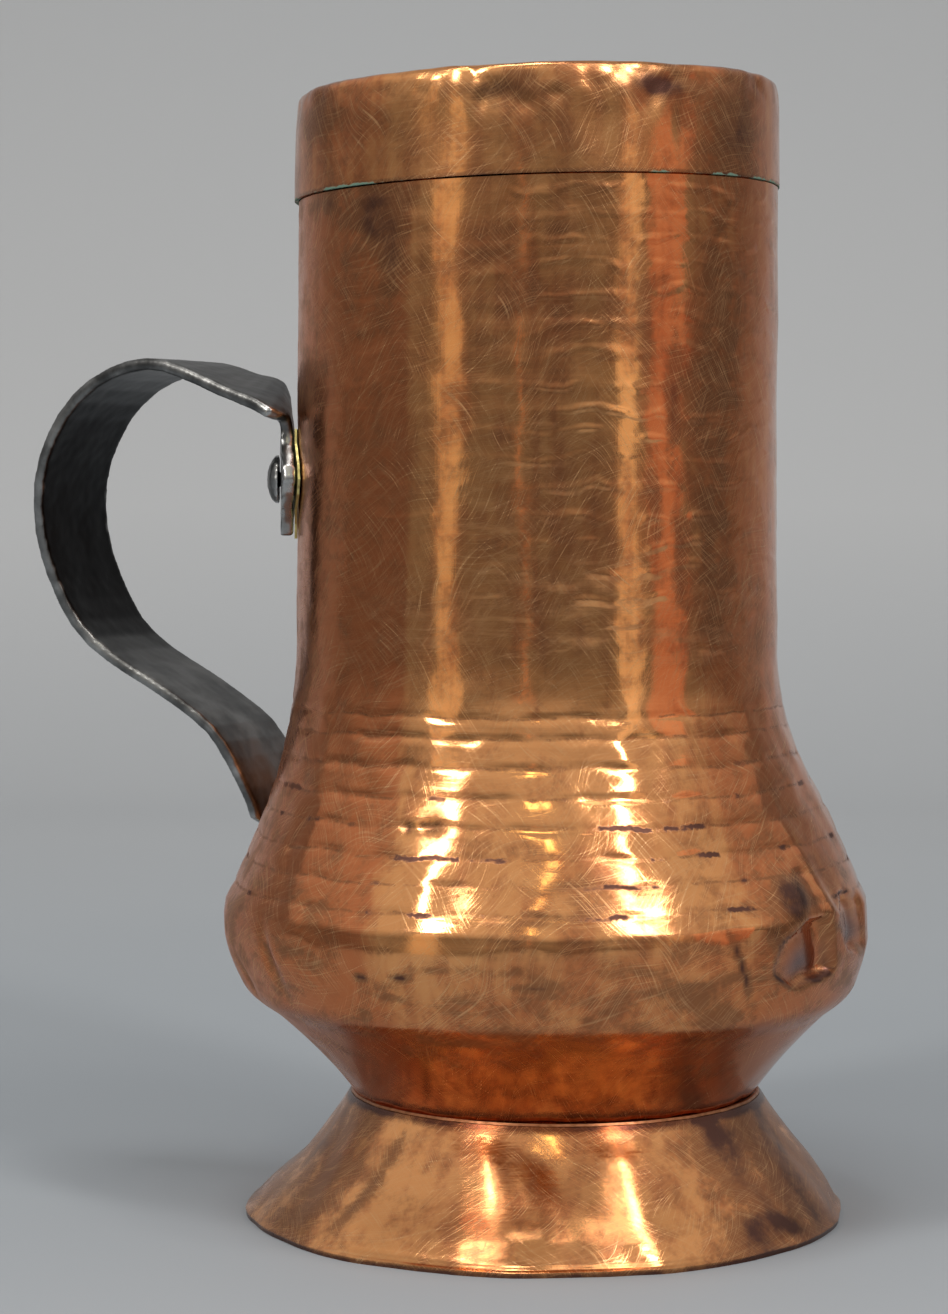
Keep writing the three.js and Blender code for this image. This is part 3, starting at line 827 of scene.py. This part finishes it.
def copper(name, courses=False):
    """Copper sheet: warm polish, red and brown tarnish, hairline scratches with a painted sheen,
    dark hollows, and the painted shade and grey reflection that its stains carry.
    """
    settings = bpy.context.scene.pot_finish
    finish = Finish(name)
    clouds = finish.noise(30 * MM, 4.0)
    mottle = finish.noise(6 * MM, 5.0)
    streaks = finish.noise(5 * MM, 4.0, (0.6, 0.6, 8))
    specks = finish.noise(1.1 * MM, 3.0)
    level = finish.noise(3 * MM, 3.0, (6, 6, 1))
    # The dark stain holds oxide in hollows and painted shade: along the buckles, on a swelling, on
    # the foot's sides and bottom edge and at the foot of the lid's skirt.
    dark = finish.stain("dark") * (mottle * 2.2 + specks * 0.6 - 0.1)
    # The red stain adds painted shade on the sides and underside to the red tarnish.
    red = clouds * 0.8 + streaks * 0.5 + mottle * 0.4 + finish.stain("red") * 0.32
    red = red.between(0.74, 1.14)
    matt = finish.stain("matt")
    brown = clouds * 0.5 + streaks * 0.3 + level * 0.3 + mottle * 0.6 + specks * 0.3 + dark * 0.6
    brown = brown.between(0.92, 1.3)
    green = (finish.stain("green") + specks * 0.8).between(0.8, 1.15)
    sheet = finish.unrolled(not courses)
    swirl = finish.noise(16 * MM, 1.0).between(0.4, 0.6)
    hairs = (
        finish.hairline(sheet, 0.17 * MM, 60, 0.6) * (swirl * 0.9 + 0.1)
        + finish.hairline(sheet, 0.17 * MM, 60, -0.7) * (1 - swirl * 0.9)
        + finish.hairline(sheet, 0.2 * MM, 50, 1.2) * 0.6
    )
    ripples = finish.noise(0.8 * MM, 2.0, (9, 9, 1))
    brushing = finish.noise(0.35 * MM, 2.0, (1, 1, 30))
    colour = finish.blend(red * 0.85, settings.copper, settings.red_tarnish_and_shade)
    colour = finish.mix(brown * 0.8, colour, colour_of(settings.tarnish))
    # The scratches are mixed towards bright copper: fresh metal in them, and a painted sheen where
    # they would catch the light.
    colour = finish.mix(hairs * 0.55, colour, colour_of(settings.bright))
    roughness = clouds * 0.1 + brushing * 0.06 + brown * 0.14 + hairs * 0.14 + 0.015
    roughness = roughness + matt * (mottle * 0.2 + 0.06)
    metallic = 1 - green * 0.9
    if courses:
        line, spots = course_marks(finish, specks)
        colour = finish.mix(line * 0.75, colour, colour_of(settings.tarnish))
        colour = finish.mix(spots, colour, colour_of(settings.oxide_and_shade))
        roughness = roughness + spots * 0.3 + line * 0.15
    # The oxide colour paints the dark stain, oxide and painted shade alike.
    colour = finish.mix(dark.between(0.45, 1.35), colour, colour_of(settings.oxide_and_shade))
    # The buckles' facets take a painted grey-blue reflection of the wall.
    colour = finish.mix(finish.stain("wall_reflection") * 0.8, colour, colour_of(settings.wall_reflection))
    colour = finish.mix(green, colour, colour_of(settings.verdigris))
    roughness = roughness + green * 0.5
    relief = hairs * 0.22 + ripples + brushing * 0.25 + mottle * 1.5
    if courses:
        relief = relief + row_ridges(finish) * 8
    normal = finish.bump(relief, 0.014 * MM)
    return finish.finish(colour, roughness, metallic, normal)


def row_ridges(finish):
    """Fine level ridges that the hammer left between its rows on the neck, strongest on +X."""
    right, _, height = finish.axes(finish.place)
    rows = height * (1 / ROW_RISE) + finish.noise(28 * MM, 1.0) * 2.0
    rows = rows + finish.noise(6 * MM, 1.0) * 0.35
    ridge = (rows.math("FRACT") - 0.5).math("ABSOLUTE").between(0.2, 0.5)
    patches = finish.noise(8 * MM, 1.0, (1, 1, 0.6)).between(0.4, 0.65)
    side = right.between(0.0, 45 * MM) * 0.8 + 0.2
    return ridge * patches * side * height.between(118 * MM, 135 * MM)


def course_marks(finish, specks):
    """Thin lines of grime along the tool courses, and the longer oxidised spots on them."""
    number = finish.stain("course")
    nearest = number.math("ROUND")
    off = (number - nearest).math("ABSOLUTE") * (COURSE_SPACING / MM)
    spot = finish.node("VectorMath", {"operation": "MULTIPLY"}, {0: finish.place, 1: (1, 1, 0)})
    # Each course reads the noise at a level of its own.
    level = finish.node("CombineXYZ", {}, {"Z": nearest * 0.037})
    spot = finish.node("VectorMath", {}, {0: spot, 1: level})
    dashes = finish.node("TexNoise", {}, {"Vector": spot, "Scale": 1 / (11 * MM), "Detail": 3.0})
    breaks = finish.node("TexNoise", {}, {"Vector": spot, "Scale": 1 / (3 * MM), "Detail": 3.0})
    last = len(COURSES)
    inside = number.between(-0.5, -0.2) * (1 - number.between(last - 0.9, last - 0.6))
    line = (1 - (off + specks * 0.8).between(0.4, 0.9)) * breaks.between(0.38, 0.6)
    spots = (dashes + specks * 0.15).between(0.64, 0.7)
    spots = (1 - (off + specks * 1.3).between(0.95, 1.4)) * spots
    lower = 1 - nearest.between(3.0, 6.0) * 0.8
    return line * inside, spots * inside * lower


def iron(name):
    """Forged iron: dark and smooth with grey scale, rubbed bright along its edges, and painted
    darker where the handle is shaded.
    """
    settings = bpy.context.scene.pot_finish
    finish = Finish(name)
    scale = finish.noise(9 * MM, 4.0)
    specks = finish.noise(1.2 * MM, 3.0)
    wear = (finish.stain("worn") * 1.1 + scale * 0.4 + specks * 0.2).between(0.7, 1.3)
    # The grey scale is held back where the handle's painted shade lies.
    grey = (scale.between(0.3, 0.65) * 0.6 + 0.4) * (1 - finish.stain("handle_shade"))
    colour = finish.blend(grey, settings.iron, settings.iron_scale)
    colour = finish.mix(wear, colour, colour_of(settings.iron_edge))
    roughness = 0.3 + scale * 0.15 - wear * 0.12
    return finish.finish(colour, roughness, 1.0, finish.bump(scale * 1.5 + specks * 0.4, 0.05 * MM))


def brass(name):
    """Thin yellow brass, dulled."""
    settings = bpy.context.scene.pot_finish
    finish = Finish(name)
    dull = finish.noise(2 * MM, 4.0)
    colour = finish.blend(dull.between(0.3, 0.8), settings.brass, settings.brass_dull)
    return finish.finish(colour, dull * 0.3 + 0.25, 1.0, finish.bump(dull, 0.05 * MM, 0.5))


def solder(name):
    """Dull hard solder with an oxidised crust."""
    settings = bpy.context.scene.pot_finish
    finish = Finish(name)
    crust = finish.noise(1.5 * MM, 4.0)
    colour = finish.blend(crust.between(0.35, 0.7), settings.solder, settings.tarnish)
    return finish.finish(colour, crust * 0.25 + 0.28, 1.0, finish.bump(crust, 0.1 * MM, 0.6))


def tinned(name):
    """The inner face's tin lining, grey and cloudy."""
    settings = bpy.context.scene.pot_finish
    finish = Finish(name)
    cloud = finish.noise(9 * MM, 5.0)
    colour = finish.blend(cloud.between(0.3, 0.7), settings.tin, settings.tin_dull)
    return finish.finish(colour, cloud * 0.25 + 0.3, 1.0, finish.bump(cloud, 0.1 * MM, 0.5))


def length_setting(name, description, default):
    """A small length property."""
    return FloatProperty(name=name, description=description, default=default, unit="LENGTH")


class VesselSettings(bpy.types.PropertyGroup):
    """Sizes of the marks on the vessel."""

    planishing: length_setting("Planishing", "Depth of the hammer marks", 0.14 * MM)
    bands: length_setting("Bands", "Height of the level bands on the neck", 0.05 * MM)
    course_depth: length_setting(
        "Tool courses", "Depth of the shoulder's tool courses", 0.34 * MM
    )


class FootSettings(bpy.types.PropertyGroup):
    """Sizes of the marks on the foot."""

    unevenness: length_setting("Unevenness", "Height of the foot's broad flats", 0.8 * MM)


class LidSettings(bpy.types.PropertyGroup):
    """Sizes of the marks on the lid."""

    edge_knocks: length_setting("Edge knocks", "Depth of the knocks on the top edge", 0.5 * MM)


class HandleSettings(bpy.types.PropertyGroup):
    """Sizes of the marks on the handle."""

    forging: length_setting("Forging", "Depth of the hammer marks on the iron", 0.14 * MM)
    mark_size: length_setting("Mark size", "Width of a hammer mark on the iron", 7 * MM)


def colour_setting(name, description, default):
    """A colour property."""
    return FloatVectorProperty(
        name=name, description=description, default=default, subtype="COLOR", min=0, max=1
    )


class FinishSettings(bpy.types.PropertyGroup):
    """Colours of the metals."""

    copper: colour_setting("Copper", "Polished copper", (0.9, 0.4, 0.15))
    tarnish: colour_setting("Tarnish", "Brown tarnish", (0.3, 0.13, 0.06))
    # Red tarnish, which also paints shade on the sides and underside of the pot, the lid and the
    # foot.
    red_tarnish_and_shade: colour_setting("Red tarnish", "Red-brown tarnish", (0.62, 0.18, 0.07))
    # Fresh copper in scratches, also used as a painted sheen on them.
    bright: colour_setting("Bright copper", "Fresh copper in a scratch", (0.95, 0.57, 0.28))
    # A painted grey-blue reflection of the wall, laid on the buckles' facets.
    wall_reflection: colour_setting("Temper", "Grey-blue temper colour", (0.2, 0.16, 0.17))
    # Oxide in the hollows, also used for painted shade.
    oxide_and_shade: colour_setting("Oxide", "Dark oxide in the hollows", (0.13, 0.06, 0.045))
    verdigris: colour_setting("Verdigris", "Green at the lid's foot", (0.15, 0.25, 0.19))
    iron: colour_setting("Iron", "Dark iron", (0.015, 0.015, 0.0155))
    iron_scale: colour_setting("Scale", "Grey forge scale", (0.27, 0.27, 0.265))
    iron_edge: colour_setting("Iron edge", "Rubbed edges", (0.5, 0.5, 0.49))
    brass: colour_setting("Brass", "Bright brass", (0.75, 0.68, 0.28))
    brass_dull: colour_setting("Dull brass", "Dulled brass", (0.35, 0.3, 0.12))
    solder: colour_setting("Solder", "Hard solder", (0.45, 0.2, 0.1))
    tin: colour_setting("Tin", "Bright tin", (0.5, 0.48, 0.45))
    tin_dull: colour_setting("Dull tin", "Cloudy tin", (0.25, 0.23, 0.21))


class StageSettings(bpy.types.PropertyGroup):
    """The floor, the lamps and the room."""

    floor: colour_setting("Floor", "The floor", (0.315, 0.348, 0.382))
    wall: colour_setting("Wall", "The backdrop", (0.585, 0.6, 0.615))
    room: colour_setting("Room", "The room near the ground", (0.15, 0.15, 0.152))
    ceiling: colour_setting("Ceiling", "The room overhead", (0.62, 0.61, 0.6))
    key: FloatProperty(name="Keys", description="Brightness of the key lamps", default=20.0)
    card: FloatProperty(name="Cards", description="Brightness of the dim cards", default=0.45)


# Steps round each turned piece.
VESSEL_TURNS = 336
BOTTOM_TURNS = 96
FOOT_TURNS = 400
SOLDER_TURNS = 300
LID_TURNS = 400

# The iron's even faces, how often they are eased, and the width of a mark on a rivet.
STRAP_FACE = 0.55 * MM
RIVET_FACE = 0.22 * MM
EASING_ROUNDS = 3
RIVET_MARK = 2.5 * MM


class MakeVessel(bpy.types.Operator):
    """Raise the vessel's wall and mark it with the hammer."""

    bl_idname = "pot.vessel"
    bl_label = "Vessel"

    def execute(self, context):
        outline = refined(
            section_of("body_wall"),
            1.25 * MM,
            6 * MM,
            creases=(CREASE_HEIGHT,),
            worked=(44 * MM, 118 * MM),
            finest=0.8 * MM,
        )
        piece = turned("vessel", outline, VESSEL_TURNS, True, vessel_beat, vessel_stains)
        placed(piece, "pot", "copper", copper("hammered_copper", courses=True), "body_wall")
        return {"FINISHED"}


class MakeBottom(bpy.types.Operator):
    """Lay the dished disc in the bottom of the vessel."""

    bl_idname = "pot.bottom"
    bl_label = "Bottom disc"

    def execute(self, context):
        outline = refined(section_of("body_bottom"), 2 * MM, 3 * MM, closed=False)
        piece = turned("bottom_disc", outline, BOTTOM_TURNS, False, plain_beat, no_stains)
        placed(piece, "pot", "copper", tinned("tin_lining"), "body_bottom")
        return {"FINISHED"}


class MakeFoot(bpy.types.Operator):
    """Draw out the flared foot."""

    bl_idname = "pot.foot"
    bl_label = "Foot"

    def execute(self, context):
        outline = refined(section_of("foot"), 0.8 * MM, 2 * MM)
        piece = turned("foot_cone", outline, FOOT_TURNS, True, foot_beat, foot_stains)
        placed(piece, "pot", "copper", copper("foot_copper"), "foot")
        return {"FINISHED"}


class MakeSolder(bpy.types.Operator):
    """Run the line of solder round the waist."""

    bl_idname = "pot.solder"
    bl_label = "Waist solder"

    def execute(self, context):
        outline = refined(section_of("waist_solder"), 0.3 * MM, 0.3 * MM)
        piece = turned("solder_line", outline, SOLDER_TURNS, True, solder_beat, no_stains)
        placed(piece, "pot", "solder", solder("hard_solder"), "waist_solder")
        return {"FINISHED"}


class MakeLid(bpy.types.Operator):
    """Close the cap lid down and leave its whisk hole open."""

    bl_idname = "pot.lid"
    bl_label = "Lid"

    def execute(self, context):
        outline = refined(section_of("lid"), 0.9 * MM, 2.5 * MM)
        piece = turned("cap_lid", outline, LID_TURNS, True, lid_beat, lid_stains)
        placed(piece, "lid", "copper", copper("lid_copper"), "lid")
        return {"FINISHED"}


class MakeHandle(bpy.types.Operator):
    """Forge the strap handle."""

    bl_idname = "pot.handle"
    bl_label = "Handle"

    def execute(self, context):
        settings = context.scene.pot_handle
        depth, size = settings.forging, settings.mark_size
        piece = forged("strap", "handle_strap", STRAP_FACE, depth, size)
        placed(piece, "pot", "iron", iron("forged_iron"), "handle_strap")
        return {"FINISHED"}


class MakeRivets(bpy.types.Operator):
    """Set the rivets and their shims."""

    bl_idname = "pot.rivets"
    bl_label = "Rivets and shims"

    def execute(self, context):
        settings = context.scene.pot_handle
        metal = iron("rivet_iron")
        for place in ("upper", "lower"):
            node = place + "_handle_rivet"
            piece = forged(place + "_rivet", node, RIVET_FACE, settings.forging, RIVET_MARK)
            placed(piece, "pot", "iron", metal, node)
        shim = brass("shim_brass")
        for place in ("upper", "lower"):
            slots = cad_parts[place + "_handle_pad"].data.materials
            slots.clear()
            slots.append(shim)
        return {"FINISHED"}


# The floor's half width, its depth, the backdrop's height and the curve between them, in metres.
FLOOR_HALF = 4.0
FLOOR_DEPTH = 5.4
BACKDROP_HEIGHT = 1.3
BACKDROP_CURVE = 0.5

# The camera stands where the photograph's did, and the frame's longer side is its height.
CAMERA_PLACE = Vector((6.57, -717.3, 160.0)) * MM
CAMERA_PITCH = math.radians(90 - 2.908)
FRAME_HEIGHT = 1314
FOCAL_PIXELS = 3228


def soft_box(name, bearing, rise, distance, width, height, brightness, colour):
    """A soft lamp at a bearing and a rise in degrees, as bright as its surface looks."""
    light = bpy.data.lights.new(name, "AREA")
    light.shape = "RECTANGLE"
    light.size = width
    light.size_y = height
    light.energy = brightness * math.pi * width * height
    light.color = colour
    holder = bpy.data.objects.new(name, light)
    target = at_bearing(0, 0, 0.1)
    climb = math.radians(rise)
    place = at_bearing(bearing, distance * math.cos(climb), target.z + distance * math.sin(climb))
    holder.location = place
    holder.rotation_euler = (target - place).to_track_quat("-Z", "Y").to_euler()
    bpy.context.scene.collection.objects.link(holder)


def at_bearing(bearing, distance, height):
    """A place in the room at a bearing from the pot."""
    return about_axis(distance, height, math.radians(bearing)) + Vector((NECK_AXIS, 0, 0))


class SetStage(bpy.types.Operator):
    """Put the pot on a pale floor under soft lamps, with the camera in its place."""

    bl_idname = "pot.stage"
    bl_label = "Stage"

    def execute(self, context):
        settings = context.scene.pot_stage
        self.floor(settings)
        self.camera(context.scene)
        self.lamps(settings)
        self.room(context.scene, settings)
        context.scene.view_settings.view_transform = "Standard"
        return {"FINISHED"}

    def floor(self, settings):
        """A floor that curves up into a backdrop."""
        bm = bmesh.new()
        front = [bm.verts.new((x, -FLOOR_HALF, 0)) for x in (-FLOOR_HALF, FLOOR_HALF)]
        edge = bm.edges.new(front)
        for step in (Vector((0, FLOOR_DEPTH, 0)), Vector((0, 0, BACKDROP_HEIGHT))):
            made = bmesh.ops.extrude_edge_only(bm, edges=[edge])["geom"]
            verts = [item for item in made if isinstance(item, bmesh.types.BMVert)]
            bmesh.ops.translate(bm, verts=verts, vec=step)
            edge = bm.edges.get(verts)
        corner = [e for e in bm.edges if len(e.link_faces) == 2]
        bmesh.ops.bevel(
            bm,
            geom=corner,
            offset=BACKDROP_CURVE,
            segments=24,
            profile=0.5,
            affect="EDGES",
            material=-1,
        )
        backdrop = finished("backdrop", bm)
        finish = Finish("backdrop_paint")
        _, depth, height = finish.axes(finish.place)
        cloth = finish.noise(0.4, 2.0)
        share = height.between(-0.05, 0.3) * 0.7 + depth.between(0.1, 1.0) * 0.6
        share = share + cloth * 0.2 - 0.12
        colour = finish.blend(share, settings.floor, settings.wall)
        backdrop.data.materials.append(finish.finish(colour, 0.75, 0.0))

    def camera(self, scene):
        """The photograph's camera."""
        camera = bpy.data.objects.new("camera", bpy.data.cameras.new("camera"))
        camera.location = CAMERA_PLACE
        camera.rotation_euler = (CAMERA_PITCH, 0, 0)
        camera.data.lens = camera.data.sensor_width * FOCAL_PIXELS / FRAME_HEIGHT
        scene.collection.objects.link(camera)
        scene.camera = camera

    def lamps(self, settings):
        """Two bright lamps above the camera's sides, and dim cards that the neck mirrors."""
        key, card = settings.key, settings.card
        soft_box("left_key", -44.5, 38, 1.4, 0.15, 0.5, key, (1, 0.97, 0.92))
        soft_box("right_key", 37.5, 37, 1.4, 0.16, 0.5, key, (1, 0.97, 0.92))
        soft_box("top_key", -30, 82, 1.4, 0.35, 0.35, key * 0.5, (1, 0.98, 0.95))
        soft_box("middle_key", -6.5, 42, 1.4, 0.07, 0.2, key * 0.25, (1, 0.93, 0.5))
        soft_box("thin_card", -7, 6, 1.3, 0.04, 0.45, card * 0.7, (1, 0.5, 0.3))
        soft_box("left_card", -43, 8, 1.3, 0.25, 0.55, card * 0.93, (1, 0.86, 0.6))
        soft_box("right_card", 42, 8, 1.3, 0.24, 0.55, card * 1.15, (1, 0.9, 0.68))
        soft_box("left_foot_lamp", -48, 56, 1.4, 0.12, 0.4, key * 0.32, (1, 0.94, 0.85))
        soft_box("left_foot_card", -42, 61, 1.4, 0.4, 0.4, card * 3, (1, 0.94, 0.88))
        soft_box("right_foot_card", 40, 61, 1.4, 0.45, 0.45, card * 3, (1, 0.94, 0.88))
        soft_box("right_foot_lamp", 48, 56, 1.4, 0.14, 0.4, key * 0.32, (1, 0.94, 0.85))
        soft_box("warm_card", 61, 8, 1.3, 0.4, 0.6, card * 0.58, (1, 0.27, 0.105))

    def room(self, scene, settings):
        """The light of the room, dim near the ground and brighter overhead and in front."""
        world = bpy.data.worlds.new("room")
        world.use_nodes = True
        tree = world.node_tree
        tree.nodes.clear()
        finish = Finish("room_light", tree)
        side, front, up = finish.axes(finish.node("TexCoord", output="Generated"))
        overhead = up.between(-0.05, 0.6) * (0.85 - front * 0.15)
        overhead = overhead * (1 - up.between(0.7, 0.98) * 0.45) + side.math("ABSOLUTE") * 0.065
        light = finish.blend(overhead, settings.room, settings.ceiling)
        background = tree.nodes.new("ShaderNodeBackground")
        finish.feed(background.inputs["Color"], light)
        output = tree.nodes.new("ShaderNodeOutputWorld")
        tree.links.new(background.outputs["Background"], output.inputs["Surface"])
        scene.world = world


class PotPanel(bpy.types.Panel):
    """Lists the pot's pieces and their settings."""

    bl_idname = "VIEW3D_PT_chocolate_pot"
    bl_label = "Chocolate Pot"
    bl_space_type = "VIEW_3D"
    bl_region_type = "UI"
    bl_category = "Chocolate Pot"

    def draw(self, context):
        for operator in PIECE_OPERATORS:
            self.layout.operator(operator.bl_idname)
        for group in SETTING_GROUPS:
            for name in group.bl_rna.properties.keys():
                if name not in ("rna_type", "name"):
                    self.layout.prop(getattr(context.scene, SETTING_GROUPS[group]), name)


PIECE_OPERATORS = (
    MakeVessel, MakeBottom, MakeFoot, MakeSolder, MakeLid, MakeHandle, MakeRivets, SetStage,
)
SETTING_GROUPS = {
    VesselSettings: "pot_vessel",
    FootSettings: "pot_foot",
    LidSettings: "pot_lid",
    HandleSettings: "pot_handle",
    FinishSettings: "pot_finish",
    StageSettings: "pot_stage",
}


def register():
    """Registers the settings, the operators and the panel."""
    for made in (*SETTING_GROUPS, *PIECE_OPERATORS, PotPanel):
        bpy.utils.register_class(made)
    for group, name in SETTING_GROUPS.items():
        setattr(bpy.types.Scene, name, PointerProperty(type=group))


def unregister():
    """Takes them out again."""
    for name in SETTING_GROUPS.values():
        delattr(bpy.types.Scene, name)
    for made in reversed((*SETTING_GROUPS, *PIECE_OPERATORS, PotPanel)):
        bpy.utils.unregister_class(made)


def main():
    """Makes every piece and the stage."""
    register()
    bpy.ops.pot.vessel()
    bpy.ops.pot.bottom()
    bpy.ops.pot.foot()
    bpy.ops.pot.solder()
    bpy.ops.pot.lid()
    bpy.ops.pot.handle()
    bpy.ops.pot.rivets()
    bpy.ops.pot.stage()


if __name__ == "__main__":
    main()
